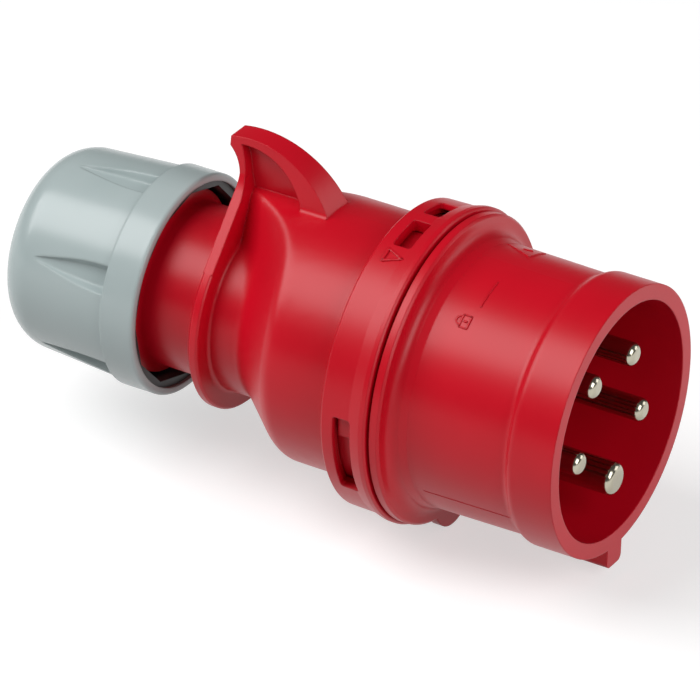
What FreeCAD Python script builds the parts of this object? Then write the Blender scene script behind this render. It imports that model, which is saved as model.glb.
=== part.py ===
import FreeCAD, Part
import math
import os
import re
import Sketcher

# Industrial pin and sleeve plug, five pins, millimetres.
# The X axis is the plug's own axis and points the way the pins are pushed in.
# The origin is on that axis in the plane of the mouth's rim. Z is up, towards the thumb fin.
# Stations along the plug are depths behind the rim, so a station d lies at x = -d.

SIZES = (
    # mouth, shroud and rim of the front housing
    ("rim_radius", 28.85, "outer radius of the rim band"),
    ("shroud_bore", 25.5, "inner radius of the mouth"),
    ("band_length", 9.0, "length of the rim band"),
    ("band_blend", 3.0, "length of the blend from the band to the shroud"),
    ("shroud_front_radius", 27.6, "outer radius of the shroud behind the band"),
    ("shroud_rear_radius", 27.9, "outer radius of the shroud in front of the conical strip"),
    ("strip_length", 1.6, "length of the conical strip in front of the cove"),
    ("strip_rise", 0.6, "radial rise of the conical strip"),
    ("cove_length", 2.2, "length of the cove between strip and flange"),
    ("cove_rise", 2.5, "radial rise of the cove"),
    ("flange_depth", 37.4, "station of the flange's front face"),
    ("flange_thickness", 2.1, "thickness of the flange"),
    ("flange_radius", 32.8, "outer radius of the flange"),
    ("flange_chamfer", 0.5, "chamfer of the flange's front edge"),
    ("key_width", 5.8, "width of the key under the rim"),
    ("key_reach", 33.3, "distance from the axis to the key's foot"),
    ("key_length", 14.0, "length of the key"),
    ("key_corner", 1.3, "corner radius of the key's foot"),
    ("ear_radius", 7.4, "radius of the ear on the flange"),
    ("ear_reach", 36.0, "distance from the axis to the ear's foot"),
    ("ear_root", 30.3, "distance from the axis to the ear's straight side"),
    ("base_wall", 3.5, "thickness of the mouth's base"),
    # spigot that enters the rear housing
    ("step_radius", 31.6, "radius of the shoulder behind the flange"),
    ("step_length", 0.4, "length of that shoulder"),
    ("spigot_radius", 29.8, "outer radius of the spigot"),
    ("spigot_bore", 26.9, "inner radius of the spigot"),
    ("lug_reach", 31.1, "outer radius of a bayonet lug"),
    ("lug_setback", 0.5, "distance from the windows' front edge to a lug's front face"),
    ("lug_length", 3.2, "length of a bayonet lug along the axis"),
    ("lug_span", 9.0, "angle that a bayonet lug covers"),
    ("lug_count", 3.0, "number of bayonet lugs"),
    ("lug_turn", 182.0, "angle of the first lug from the Y axis"),
    ("twist_travel", 24.0, "angle that the bayonet turns through"),
    ("seal_setback", 1.4, "distance from the spigot's root to the seal's groove"),
    ("seal_width", 1.8, "width of the housing seal"),
    ("seal_seat", 28.2, "radius of the seal's groove"),
    ("seal_edge", 0.3, "chamfer of the seal's outer edges"),
    # contacts
    ("pin_circle", 13.6, "radius of the circle that the pins stand on"),
    ("phase_tip", 1.4, "station of the tips of the phase and neutral pins"),
    ("earth_lead", 1.3, "how much further forward the earth pin's tip is"),
    ("phase_radius", 2.5, "radius of a phase or neutral pin"),
    ("earth_radius", 3.5, "radius of the earth pin"),
    ("tip_round", 1.5, "rounding of a pin's tip"),
    ("pin_collar", 0.3, "how much thicker a pin is behind the base's front face"),
    ("pin_shoulder", 2.0, "distance from the base's rear face to the terminals"),
    ("phase_barrel", 3.9, "outer radius of a phase terminal"),
    ("earth_barrel", 4.8, "outer radius of the earth terminal"),
    ("wire_hole", 2.3, "radius of a terminal's wire hole"),
    ("wire_hole_length", 13.0, "depth of a terminal's wire hole"),
    ("terminal_reach", 8.0, "how far the terminals stand out of their towers"),
    ("screw_setback", 4.5, "distance from a terminal's end to its screw's axis"),
    ("screw_radius", 1.95, "radius of a terminal screw"),
    ("screw_tip", 1.0, "distance from a pin's axis to the end of its screw"),
    ("screw_proud", 0.8, "how far a terminal screw stands out of its terminal"),
    ("screw_slot", 0.8, "width and depth of a screw's slot"),
    ("thread_clearance", 0.05, "gap between a screw and its hole"),
    # contact carrier
    ("carrier_inset", 0.4, "how far the carrier's rear face lies inside the spigot"),
    ("tower_radius", 6.4, "radius of a tower round a terminal"),
    ("tower_length", 7.2, "length of the towers"),
    ("slip_clearance", 0.1, "gap round pins, terminals and carrier"),
    ("fixing_circle", 20.5, "radius of the circle of the carrier's screws"),
    ("fixing_radius", 1.5, "radius of a carrier screw"),
    ("fixing_head", 2.8, "head radius of a carrier screw"),
    ("fixing_head_height", 2.0, "head height of a carrier screw"),
    ("fixing_bite", 2.5, "how far a carrier screw enters the base"),
    # ring of the rear housing
    ("housing_gap", 0.3, "gap between the two housings"),
    ("ring_radius", 32.75, "outer radius of the ring behind its lip"),
    ("ring_rear_radius", 32.6, "outer radius of the ring at its rear edge"),
    ("ring_length", 10.8, "length of the ring with its lip"),
    ("ring_end_wall", 1.5, "wall at the ring's rear end"),
    ("ring_bore", 30.1, "inner radius of the ring"),
    ("ring_bore_slope", 1.0, "length of the slope at the bore's rear end"),
    ("lip_radius", 33.5, "outer radius of the lip in front of the ring"),
    ("lip_length", 1.4, "distance from the ring's front to the end of the lip's crest"),
    ("lip_slope", 2.8, "length of the slope behind the lip's crest"),
    ("edge_break", 0.4, "chamfer of the rear housing's edges"),
    ("window_setback", 3.7, "distance from the ring's front to the windows"),
    ("window_length", 4.2, "length of the windows along the axis"),
    ("window_round", 0.7, "corner radius of the windows"),
    ("track_margin", 0.3, "how much further than a window the bayonet track reaches at each side"),
    ("track_play", 1.5, "angle left free at each side of a lug"),
    # barrel, shoulder, collar and neck of the rear housing
    ("barrel_radius", 27.85, "outer radius of the barrel"),
    ("barrel_wall", 2.5, "wall of the barrel"),
    ("shoulder_reach", 27.5, "distance from the ring to the foot of the shoulder"),
    ("waist_radius", 18.3, "outer radius of the waist behind the shoulder"),
    ("waist_length", 7.7, "distance from the foot of the shoulder to the collar"),
    ("shoulder_rise", 0.853, "radial rise of the shoulder for each unit of length"),
    ("shoulder_blend", 1.6, "size of the blends at the shoulder's two ends"),
    ("cone_margin", 1.4, "how much further than the shoulder the inner cone reaches at each end"),
    ("tongue_reach", 27.0, "how far the tongue under the fin runs back"),
    ("tongue_spread", 15.4, "angle over which the tongue falls off"),
    ("tongue_crown", 4.0, "angle that rounds the tongue's crown"),
    ("collar_thickness", 2.2, "thickness of the collar"),
    ("collar_radius", 22.5, "outer radius of the collar"),
    ("collar_root", 0.9, "radius of the fillet between waist and collar"),
    ("flare_turn", 40.5, "angle from the Y axis where the collar starts to flare to the fin"),
    ("flare_round", 8.0, "radius of the flare's hollow beside the fin"),
    ("neck_radius", 17.6, "outer radius of the neck"),
    ("neck_wall", 3.1, "wall of the neck"),
    ("neck_lead", 2.0, "length of the slope inside the collar"),
    ("neck_free", 14.0, "distance from the collar to the bead"),
    ("bead_length", 4.4, "length of the bead"),
    ("bead_radius", 19.7, "outer radius of the bead"),
    ("bead_bulge", 0.6, "height of the arcs on both sides of the bead"),
    ("thread_radius", 17.4, "outer radius of the neck's thread"),
    ("thread_length", 14.2, "distance from the bead to the neck's end"),
    ("thread_edge", 0.8, "chamfer of the neck's end"),
    ("seat_radius", 11.0, "inner radius of the grommet's seat"),
    ("seat_thickness", 1.6, "thickness of the grommet's seat"),
    # thumb fin
    ("tip_overhang", 2.8, "how far the fin's tip reaches behind the collar"),
    ("fin_height", 38.9, "height of the fin's tip above the axis"),
    ("fin_tip_edge", 2.0, "height of the fin's blunt tip"),
    ("fin_length", 23.85, "distance from the fin's tip to its front foot"),
    ("fin_bulge", 4.4, "height of the arc of the fin's outer edge"),
    ("fin_hollow_drop", 6.1, "height of the hollow under the fin's tip"),
    ("fin_rear_wall", 1.3, "thickness of the fin's rear edge"),
    ("fin_top_half", 2.6, "half width of the fin at its tip"),
    ("fin_foot_half", 3.9, "half width of the fin at its foot"),
    ("fin_foot_round", 1.3, "radius of the hollows beside the fin's foot"),
    ("fin_band", 1.2, "thickness of the fin's outer edge at its tip"),
    ("web_half", 0.7, "half thickness of the fin's web"),
    ("web_lean", 1.5, "how far the rear side of the web leans back towards its top"),
    ("web_setback", 6.0, "distance from the fin's front foot to the web"),
    ("web_bulge", 3.6, "height of the arc of the web's upper side"),
    ("heel_drop", 3.8, "height over which the fin's rear edge widens into the collar"),
    # gland
    ("nut_overlap", 1.4, "how far the nut's mouth reaches over the bead"),
    ("nut_band_radius", 23.8, "outer radius of the nut's band"),
    ("nut_front_radius", 23.0, "radius of the nut's body behind the band"),
    ("nut_rear_radius", 21.7, "radius of the nut's body where its end rounds off"),
    ("nut_round", 8.4, "radius of the nut's rounded end"),
    ("nut_round_reach", 8.0, "length and height of the nut's rounded end"),
    ("nut_bore", 22.2, "inner radius of the nut's mouth"),
    ("nut_step_wall", 0.7, "wall of the nut between the liner's wide part and the flutes"),
    ("nut_throat", 19.2, "inner radius of the nut behind its band"),
    ("nut_hole", 10.5, "radius of the cable hole in the nut's end"),
    ("nut_end_wall", 4.4, "thickness of the nut's end"),
    ("nut_seat_radius", 18.3, "inner radius of the nut behind the liner"),
    ("nut_edge", 0.6, "rounding of the nut's mouth and band edges"),
    ("flute_count", 6.0, "number of flutes in the nut"),
    ("flute_turn", 99.0, "angle of the first flute from the Y axis"),
    ("flute_margin", 0.5, "distance from the flutes' points to the rounded end"),
    ("flute_floor", 1.8, "half width of a flute's floor"),
    ("flute_width", 3.6, "half width of a flute at the surface"),
    ("flute_sink", 2.0, "depth of a flute beside the band"),
    ("flute_lift", 0.2, "how far a flute's floor rises above the body at its point"),
    ("liner_recess", 0.8, "how far the liner sits inside the mouth"),
    ("liner_wall", 0.9, "wall behind the liner's wide mouth"),
    ("liner_margin", 1.75, "distance from the liner to the slip ring"),
    ("liner_gap", 0.7, "gap between the bead and the liner's facets"),
    ("liner_facets", 12.0, "number of facets inside the liner's mouth"),
    ("bead_margin", 0.6, "room behind the bead inside the liner"),
    ("screw_fit", 0.06, "gap between the neck's thread and the liner"),
    ("slip_gap", 0.85, "distance from the cage to the slip ring with the nut screwed down"),
    ("slip_ring_outer", 18.0, "outer radius of the slip ring"),
    ("slip_ring_inner", 14.4, "inner radius of the slip ring"),
    ("slip_ring_length", 3.2, "length of the slip ring"),
    ("slip_ring_mouth", 1.5, "size of the slip ring's conical mouth"),
    ("cage_flange", 1.5, "thickness of the cage's flange"),
    ("finger_length", 5.2, "length of the cage's fingers"),
    ("finger_outer", 13.9, "outer radius of the fingers"),
    ("finger_inner", 11.6, "inner radius of the fingers"),
    ("finger_edge", 1.0, "chamfer of the fingers' ends"),
    ("finger_gap", 1.8, "width of the gap between two fingers"),
    ("finger_gaps", 8.0, "number of gaps round the cage"),
    ("grommet_bore", 6.5, "radius of the grommet's cable hole"),
    ("grommet_length", 15.2, "length of the grommet with its front gap"),
    ("grommet_mouth", 1.5, "size of the cones at the grommet's two ends"),
    ("grommet_margin", 1.8, "distance from the grommet to the neck's end"),
    ("soft_clearance", 0.3, "gap round the rubber parts"),
    # construction
    ("overrun", 1.0, "how far cuts and roots run past a surface"),
    ("overlap", 0.05, "how deep touching forms of one moulding run into each other"),
)

# Stations along the plug and heights on the fin that follow from the sizes.
STATIONS = (
    ("base_depth", "flange_depth + flange_thickness", "front face of the mouth's base"),
    ("base_rear", "base_depth + base_wall", "rear face of the base"),
    ("spigot_root", "base_depth + step_length", "front end of the spigot"),
    ("seal_front", "spigot_root + seal_setback", "front side of the seal"),
    ("seal_rear", "seal_front + seal_width", "rear side of the seal"),
    ("ring_front", "spigot_root + housing_gap", "front face of the ring"),
    ("ring_rear", "ring_front + ring_length", "rear edge of the ring"),
    ("spigot_end", "ring_rear - ring_end_wall - housing_gap", "rear end of the spigot"),
    ("window_front", "ring_front + window_setback", "front edge of the windows"),
    ("carrier_rear", "spigot_end - carrier_inset", "rear face of the carrier"),
    ("tower_rear", "carrier_rear + tower_length", "ends of the towers"),
    ("terminal_end", "tower_rear + terminal_reach", "ends of the terminals"),
    ("screw_station", "terminal_end - screw_setback", "axes of the terminal screws"),
    ("waist_front", "ring_rear + shoulder_reach", "foot of the shoulder"),
    ("shoulder_front", "waist_front - (barrel_radius - waist_radius) / shoulder_rise", "top of the shoulder"),
    ("collar_front", "waist_front + waist_length", "front face of the collar"),
    ("collar_rear", "collar_front + collar_thickness", "rear face of the collar"),
    ("fin_tip", "collar_rear + tip_overhang", "tip of the fin"),
    ("fin_foot", "fin_tip - fin_length", "front foot of the fin"),
    ("hollow_foot", "fin_height - fin_tip_edge - fin_hollow_drop", "height of the lower end of the fin's hollow"),
    ("web_top", "fin_height - fin_band", "height of the web's upper corner"),
    ("web_heel", "hollow_foot - heel_drop", "height of the web's lower rear corner"),
    ("fin_middle_half", "(fin_top_half + fin_foot_half) / 2", "half width of the fin where the flare joins it"),
    (
        "flare_length",
        "(collar_radius * cos(flare_turn) - fin_middle_half - flare_round * (1 - cos(flare_turn))) / sin(flare_turn)",
        "length of the flare's straight part",
    ),
    ("bead_front", "collar_rear + neck_free", "front edge of the bead"),
    ("bead_rear", "bead_front + bead_length", "rear edge of the bead"),
    ("neck_end", "bead_rear + thread_length", "end of the neck"),
    ("grommet_rear", "neck_end - grommet_margin", "rear end of the grommet"),
    ("grommet_seat", "grommet_rear - grommet_length", "rear face of the grommet's seat"),
    ("cage_end", "neck_end + cage_flange + finger_length", "ends of the cage's fingers"),
    ("slip_front", "cage_end + slip_gap", "front face of the slip ring"),
    ("slip_rear", "slip_front + slip_ring_length", "rear face of the slip ring"),
    ("nut_mouth", "bead_front - nut_overlap", "mouth of the nut"),
    ("liner_front", "nut_mouth + liner_recess", "front face of the liner"),
    ("liner_free_end", "bead_rear + bead_margin", "rear end of the liner's wide mouth"),
    ("liner_step", "liner_free_end + liner_wall", "rear end of the liner's wide part"),
    ("nut_band_rear", "liner_step + nut_step_wall", "rear edge of the nut's band"),
    ("liner_end", "slip_front - liner_margin", "rear end of the liner"),
    ("nut_inside", "slip_rear + thread_clearance", "inner face of the nut's end"),
    ("nut_end", "nut_inside + nut_end_wall", "outer face of the nut's end"),
    ("nut_round_front", "nut_end - nut_round_reach", "start of the nut's rounded end"),
    ("flute_end", "nut_round_front - flute_margin", "points of the flutes"),
)

# Angles of the contacts from the Y axis, seen from in front of the mouth.
CONTACTS = (
    ("earth", 270.0),
    ("l1", 342.0),
    ("l2", 54.0),
    ("l3", 126.0),
    ("neutral", 198.0),
)
FIXING_ANGLES = (90.0, 234.0, 306.0)
WINDOWS = (
    (74.6, 13.7),
    (94.2, 15.2),
    (177.5, 33.5),
)
# Share of a flute's width at its start, middle and point.
FLUTE_SHARES = (1.0, 0.8, 0.05)
# Cross-sections of the shoulder, points round each, and the angle by which they crowd at the top.
SHOULDER_SECTIONS = 36
SHOULDER_POINTS = 72
SHOULDER_CROWDING = 43.0

doc = FreeCAD.newDocument("PinAndSleevePlug")
sheet = doc.addObject("Spreadsheet::Sheet", "Sizes")
for row, (alias, size, note) in enumerate(SIZES, start=1):
    sheet.set("A%d" % row, note)
    sheet.set("B%d" % row, str(size))
    sheet.setAlias("B%d" % row, alias)
doc.recompute()
for row, (alias, formula, note) in enumerate(STATIONS, start=len(SIZES) + 1):
    sheet.set("A%d" % row, note)
    sheet.set("B%d" % row, "=" + formula)
    sheet.setAlias("B%d" % row, alias)
doc.recompute()
NAMES = {entry[0] for entry in SIZES + STATIONS}


def tied(expression):
    """Expression with each size's name turned into a reference to the sheet."""
    return re.sub(r"[a-z_]+[a-z0-9_]*", lambda m: "Sizes." + m[0] if m[0] in NAMES else m[0], expression)


def number(expression):
    """Present value of an expression in the sheet's sizes."""
    value = sheet.evalExpression(tied(expression))
    return float(getattr(value, "Value", value))


def bind(item, **properties):
    """Tie properties of a document object to the sheet; a double underscore stands for a dot."""
    for name, expression in properties.items():
        item.setExpression(name.replace("__", "."), tied(expression))
    return item


def new_body(label):
    """A new body whose label names the sub-part."""
    body = doc.addObject("PartDesign::Body", label)
    body.Label = label
    return body


def origin_item(body, role):
    """A plane or an axis of the body's own origin."""
    return [item for item in body.Origin.OriginFeatures if item.Role == role][0]


def new_sketch(body, name, plane, offset="0"):
    """A sketch on one of the body's origin planes, moved along that plane's normal."""
    sketch = body.newObject("Sketcher::SketchObject", name)
    sketch.AttachmentSupport = [(origin_item(body, plane), "")]
    sketch.MapMode = "FlatFace"
    if offset != "0":
        bind(sketch, AttachmentOffset__Base__z=offset)
    return sketch


def fix(sketch, kind, first, second, expression):
    """A dimension in the sketch that follows the sheet."""
    index = sketch.addConstraint(Sketcher.Constraint(kind, *first, *second, number(expression)))
    if NAMES & set(re.findall(r"[a-z_]+[a-z0-9_]*", expression)):
        sketch.setExpression("Constraints[%d]" % index, tied(expression))


def bend_geometry(start, end, radius):
    """Arc from start to end; its centre is on the left for a positive radius."""
    chord = end - start
    half = chord.Length / 2
    left = FreeCAD.Vector(-chord.y, chord.x, 0).normalize()
    rise = math.sqrt(max(radius * radius - half * half, 0.0))
    centre = start + chord * 0.5 + left * math.copysign(rise, radius)
    first, last = (start, end) if radius > 0 else (end, start)
    angles = [math.atan2(point.y - centre.y, point.x - centre.x) for point in (first, last)]
    if angles[1] < angles[0]:
        angles[1] += 2 * math.pi
    circle = Part.Circle(centre, FreeCAD.Vector(0, 0, 1), abs(radius))
    return Part.ArcOfCircle(circle, angles[0], angles[1])


def outline(sketch, corners):
    """Closed outline; a corner with a third entry bends on its way to the next corner."""
    points = [FreeCAD.Vector(number(corner[0]), number(corner[1]), 0) for corner in corners]
    ends = []
    for index, corner in enumerate(corners):
        start = points[index]
        end = points[(index + 1) % len(points)]
        if len(corner) == 2:
            edge = sketch.addGeometry(Part.LineSegment(start, end), False)
            ends.append((edge, 1, 2))
            continue
        radius = number(corner[2])
        edge = sketch.addGeometry(bend_geometry(start, end, radius), False)
        ends.append((edge, 1, 2) if radius > 0 else (edge, 2, 1))
    for index, (edge, start, end) in enumerate(ends):
        following = ends[(index + 1) % len(ends)]
        sketch.addConstraint(Sketcher.Constraint("Coincident", edge, end, following[0], following[1]))
    for corner, (edge, start, end) in zip(corners, ends):
        fix(sketch, "DistanceX", (-1, 1), (edge, start), corner[0])
        fix(sketch, "DistanceY", (-1, 1), (edge, start), corner[1])
        if len(corner) == 3:
            fix(sketch, "Radius", (edge,), (), corner[2].lstrip("-"))


def circle(sketch, across, up, radius):
    """Circle whose centre and radius follow the sheet."""
    centre = FreeCAD.Vector(number(across), number(up), 0)
    ring = sketch.addGeometry(Part.Circle(centre, FreeCAD.Vector(0, 0, 1), number(radius)), False)
    fix(sketch, "DistanceX", (-1, 1), (ring, 3), across)
    fix(sketch, "DistanceY", (-1, 1), (ring, 3), up)
    fix(sketch, "Radius", (ring,), (), radius)


def revolution(body, name, corners, kind="Revolution", axis="H_Axis"):
    """Full turn of an outline about the plug's axis, or about the sketch's upright axis."""
    sketch = new_sketch(body, name + "_outline", "XZ_Plane")
    outline(sketch, corners)
    feature = body.newObject("PartDesign::" + kind, name)
    feature.Profile = sketch
    feature.ReferenceAxis = (sketch, [axis])
    feature.Angle = 360
    return feature


def along_axis(body, name, kind, sketch, length=None):
    """Pad or pocket of a cross-section that runs backwards from its plane."""
    feature = body.newObject("PartDesign::" + kind, name)
    feature.Profile = sketch
    if kind == "Pad":
        feature.Reversed = True
    if length is None:
        feature.Type = "ThroughAll"
    else:
        bind(feature, Length=length)
    return feature


def ring_pattern(body, name, feature, count):
    """Equal copies of a feature round the plug's axis."""
    doc.recompute()
    pattern = body.newObject("PartDesign::PolarPattern", name)
    pattern.Originals = [feature]
    pattern.Axis = (origin_item(body, "X_Axis"), [""])
    pattern.Angle = 360
    bind(pattern, Occurrences=count)
    body.Tip = pattern
    return pattern


def arc_radius(across, up, bulge):
    """Radius of an arc, from its chord's two parts and its height over the chord."""
    return "(((%s) ^ 2 + (%s) ^ 2) / (8 * %s) + %s / 2)" % (across, up, bulge, bulge)


def easing_radius(aside, along):
    """Radius of an arc that leaves a line without a corner and steps aside over a length."""
    return "(((%s) ^ 2 + (%s) ^ 2) / (2 * (%s)))" % (aside, along, aside)


def polar(radius, angle):
    """Across and up expressions of a point at an angle round the axis."""
    return "%s * cos(%s)" % (radius, angle), "%s * sin(%s)" % (radius, angle)


def sector(inner, outer, middle, span):
    """Cross-section corners of a piece of ring, for an outline."""
    first = "(%s) - (%s) / 2" % (middle, span)
    last = "(%s) + (%s) / 2" % (middle, span)
    return [
        polar(inner, first),
        polar(outer, first) + (outer,),
        polar(outer, last),
        polar(inner, last) + ("-" + inner,),
    ]


def contact_sizes(name):
    """Names of the pin radius, terminal radius and tip station of a contact."""
    if name == "earth":
        return "earth_radius", "earth_barrel", "(phase_tip - earth_lead)"
    return "phase_radius", "phase_barrel", "phase_tip"


def stand_outwards(body, radius, angle):
    """Moves a body to a place on a circle, with its own Z pointing away from the plug's axis."""
    across, up = polar(radius, str(angle))
    body.Placement = FreeCAD.Placement(
        FreeCAD.Vector(0, number(across), number(up)),
        FreeCAD.Rotation(FreeCAD.Vector(1, 0, 0), angle - 90),
    )
    bind(body, Placement__Base__y=across, Placement__Base__z=up)


def make_front_housing():
    """Shroud, rim band, key, flange with ear, base with pin holes, and spigot with lugs."""
    body = new_body("front_housing")
    blend = easing_radius("(rim_radius - shroud_front_radius) / 2", "band_blend / 2")
    revolution(body, "shroud", [
        ("0", "shroud_bore"),
        ("0", "rim_radius"),
        ("-band_length", "rim_radius", blend),
        ("-(band_length + band_blend / 2)", "(rim_radius + shroud_front_radius) / 2", "-" + blend),
        ("-(band_length + band_blend)", "shroud_front_radius"),
        ("-(flange_depth - cove_length - strip_length)", "shroud_rear_radius"),
        (
            "-(flange_depth - cove_length)",
            "shroud_rear_radius + strip_rise",
            "-" + easing_radius("cove_length", "cove_rise"),
        ),
        ("-flange_depth", "shroud_rear_radius + strip_rise + cove_rise"),
        ("-flange_depth", "flange_radius - flange_chamfer"),
        ("-(flange_depth + flange_chamfer)", "flange_radius"),
        ("-base_depth", "flange_radius"),
        ("-base_depth", "step_radius"),
        ("-spigot_root", "step_radius"),
        ("-spigot_root", "spigot_radius"),
        ("-seal_front", "spigot_radius"),
        ("-seal_front", "seal_seat"),
        ("-seal_rear", "seal_seat"),
        ("-seal_rear", "spigot_radius"),
        ("-spigot_end", "spigot_radius"),
        ("-spigot_end", "spigot_bore"),
        ("-base_rear", "spigot_bore"),
        ("-base_rear", "0"),
        ("-base_depth", "0"),
        ("-base_depth", "shroud_bore"),
    ])

    key = new_sketch(body, "key_section", "YZ_Plane")
    outline(key, [
        ("-key_width / 2", "-(shroud_front_radius - overrun)"),
        ("-key_width / 2", "-(key_reach - key_corner)", "key_corner"),
        ("-(key_width / 2 - key_corner)", "-key_reach"),
        ("key_width / 2 - key_corner", "-key_reach", "key_corner"),
        ("key_width / 2", "-(key_reach - key_corner)"),
        ("key_width / 2", "-(shroud_front_radius - overrun)"),
    ])
    along_axis(body, "key", "Pad", key, "key_length")

    ear = new_sketch(body, "ear_section", "YZ_Plane", "-flange_depth")
    ear_half = "sqrt(ear_radius ^ 2 - (ear_root - ear_reach + ear_radius) ^ 2)"
    outline(ear, [
        ("-" + ear_half, "-ear_root", "ear_radius"),
        (ear_half, "-ear_root"),
    ])
    along_axis(body, "ear", "Pad", ear, "flange_thickness")

    lug = new_sketch(body, "lug_section", "YZ_Plane", "-(window_front + lug_setback)")
    outline(lug, sector("(spigot_radius - overrun)", "lug_reach", "lug_turn", "lug_span"))
    ring_pattern(body, "lugs", along_axis(body, "lug", "Pad", lug, "lug_length"), "lug_count")

    holes = new_sketch(body, "pin_hole_circles", "YZ_Plane")
    for name, angle in CONTACTS:
        pin_radius = contact_sizes(name)[0]
        circle(holes, *polar("pin_circle", str(angle)), pin_radius + " + pin_collar + slip_clearance")
    along_axis(body, "pin_holes", "Pocket", holes)

    bites = new_sketch(body, "fixing_hole_circles", "YZ_Plane", "-(base_rear - fixing_bite)")
    for angle in FIXING_ANGLES:
        circle(bites, *polar("fixing_circle", str(angle)), "fixing_radius + thread_clearance")
    along_axis(body, "fixing_holes", "Pocket", bites)
    return body


def make_contact_carrier():
    """Disc behind the base, with a slotted tower round each terminal."""
    body = new_body("contact_carrier")
    disc = new_sketch(body, "disc_circle", "YZ_Plane", "-base_rear")
    circle(disc, "0", "0", "spigot_bore - slip_clearance")
    along_axis(body, "disc", "Pad", disc, "carrier_rear - base_rear")

    towers = new_sketch(body, "tower_circles", "YZ_Plane", "-(carrier_rear - overrun)")
    for name, angle in CONTACTS:
        circle(towers, *polar("pin_circle", str(angle)), "tower_radius")
    along_axis(body, "towers", "Pad", towers, "tower_length + overrun")

    pin_ways = new_sketch(body, "pin_way_circles", "YZ_Plane")
    barrel_ways = new_sketch(body, "barrel_way_circles", "YZ_Plane", "-(base_rear + pin_shoulder)")
    for name, angle in CONTACTS:
        pin_radius, barrel_radius, tip = contact_sizes(name)
        place = polar("pin_circle", str(angle))
        circle(pin_ways, *place, pin_radius + " + pin_collar + slip_clearance")
        circle(barrel_ways, *place, barrel_radius + " + slip_clearance")
    along_axis(body, "pin_ways", "Pocket", pin_ways)
    along_axis(body, "barrel_ways", "Pocket", barrel_ways)

    fixings = new_sketch(body, "fixing_circles", "YZ_Plane")
    for angle in FIXING_ANGLES:
        circle(fixings, *polar("fixing_circle", str(angle)), "fixing_radius + thread_clearance")
    along_axis(body, "fixing_ways", "Pocket", fixings)
    return body


def make_contact(name, angle):
    """Turned pin with a rounded tip, a terminal barrel, a wire hole and a tapped cross hole."""
    pin_radius, barrel_radius, tip = contact_sizes(name)
    body = new_body("pin_" + name)
    shoulder = "-(base_rear + pin_shoulder)"
    revolution(body, "turned_pin", [
        ("-%s" % tip, "0"),
        ("-%s" % tip, pin_radius + " - tip_round", "tip_round"),
        ("-(%s + tip_round)" % tip, pin_radius),
        ("-base_depth", pin_radius),
        ("-base_depth", pin_radius + " + pin_collar"),
        (shoulder, pin_radius + " + pin_collar"),
        (shoulder, barrel_radius),
        ("-terminal_end", barrel_radius),
        ("-terminal_end", "wire_hole"),
        ("-(terminal_end - wire_hole_length)", "wire_hole"),
        ("-(terminal_end - wire_hole_length)", "0"),
    ])
    tapping = new_sketch(body, "tapping_circle", "XY_Plane")
    circle(tapping, "-screw_station", "0", "screw_radius + thread_clearance")
    cross_hole = body.newObject("PartDesign::Pocket", "cross_hole")
    cross_hole.Profile = tapping
    cross_hole.Type = "ThroughAll"
    cross_hole.Reversed = True
    stand_outwards(body, "pin_circle", angle)
    return body


def make_terminal_screw(name, angle):
    """Grub screw with a slot, pointing inwards at the wire hole."""
    barrel_radius = contact_sizes(name)[1]
    body = new_body("terminal_screw_" + name)
    top = barrel_radius + " + screw_proud"
    sketch = new_sketch(body, "shank_circle", "XY_Plane", "screw_tip")
    circle(sketch, "-screw_station", "0", "screw_radius")
    shank = body.newObject("PartDesign::Pad", "shank")
    shank.Profile = sketch
    bind(shank, Length=top + " - screw_tip")
    slot = new_sketch(body, "slot_section", "XZ_Plane")
    outline(slot, [
        ("-(screw_station + screw_slot / 2)", top + " - screw_slot"),
        ("-(screw_station - screw_slot / 2)", top + " - screw_slot"),
        ("-(screw_station - screw_slot / 2)", top + " + overrun"),
        ("-(screw_station + screw_slot / 2)", top + " + overrun"),
    ])
    cut = body.newObject("PartDesign::Pocket", "slot")
    cut.Profile = slot
    cut.Type = "ThroughAll"
    cut.Midplane = True
    stand_outwards(body, "pin_circle", angle)
    return body


def make_carrier_screw(index, angle):
    """Pan head screw along the plug's axis that holds the carrier to the base."""
    body = new_body("carrier_screw_%d" % index)
    revolution(body, "turned_screw", [
        ("-(base_rear - fixing_bite)", "0"),
        ("-(base_rear - fixing_bite)", "fixing_radius"),
        ("-carrier_rear", "fixing_radius"),
        ("-carrier_rear", "fixing_head"),
        ("-(carrier_rear + fixing_head_height)", "fixing_head"),
        ("-(carrier_rear + fixing_head_height)", "0"),
    ])
    slot = new_sketch(body, "slot_section", "XZ_Plane")
    outline(slot, [
        ("-(carrier_rear + fixing_head_height + overrun)", "-screw_slot / 2"),
        ("-(carrier_rear + fixing_head_height - screw_slot)", "-screw_slot / 2"),
        ("-(carrier_rear + fixing_head_height - screw_slot)", "screw_slot / 2"),
        ("-(carrier_rear + fixing_head_height + overrun)", "screw_slot / 2"),
    ])
    cut = body.newObject("PartDesign::Pocket", "slot")
    cut.Profile = slot
    cut.Type = "ThroughAll"
    cut.Midplane = True
    stand_outwards(body, "fixing_circle", angle)
    return body


def make_housing_seal():
    """Rubber ring in the spigot's groove."""
    body = new_body("housing_seal")
    revolution(body, "seal_ring", [
        ("-seal_front", "seal_seat"),
        ("-seal_front", "spigot_radius - seal_edge"),
        ("-(seal_front + seal_edge)", "spigot_radius"),
        ("-(seal_rear - seal_edge)", "spigot_radius"),
        ("-seal_rear", "spigot_radius - seal_edge"),
        ("-seal_rear", "seal_seat"),
    ])
    return body


def smooth_min(first, second, blend):
    """Smaller of two values, with a rounded change from one to the other."""
    overlap = max(blend - abs(first - second), 0.0) / blend
    return min(first, second) - overlap * overlap * blend / 4


def smooth_max(first, second, blend):
    """Larger of two values, with a rounded change from one to the other."""
    return -smooth_min(-first, -second, blend)


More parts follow.
